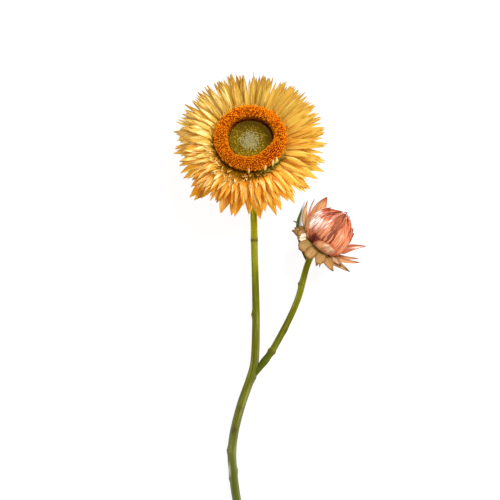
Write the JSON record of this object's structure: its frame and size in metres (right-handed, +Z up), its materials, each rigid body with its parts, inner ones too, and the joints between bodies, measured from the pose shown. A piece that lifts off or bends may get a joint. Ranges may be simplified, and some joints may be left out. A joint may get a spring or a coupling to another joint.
{
  "type": "dried strawflower",
  "caption": "Dried strawflower cut and laid flat: a forked stem with an open bloom of golden papery bracts round an orange ring of florets, and a closed salmon bud in a tan ruff.",
  "frame": {"origin": "centre of the footprint, on the surface that the flower lies on", "axes": "+Z up from that surface, +Y along the spray from the cut end of the stem to the bloom, +X to the side of the bud"},
  "size_m": [0.0775, 0.1778, 0.0282],
  "materials": {
    "stem": "matte",
    "bloom_bracts": "satin",
    "bloom_back_scales": "satin",
    "open_florets": "matte",
    "closed_florets": "matte",
    "bud_bracts": "satin",
    "bud_outer_bracts": "satin"
  },
  "bodies": {
    "root": {"stem": "stem", "bloom_bracts": "bloom_bracts", "bloom_back_scales": "bloom_back_scales", "open_florets": "open_florets", "closed_florets": "closed_florets", "bud_bracts": "bud_bracts", "bud_outer_bracts": "bud_outer_bracts"}
  },
  "joints": []
}
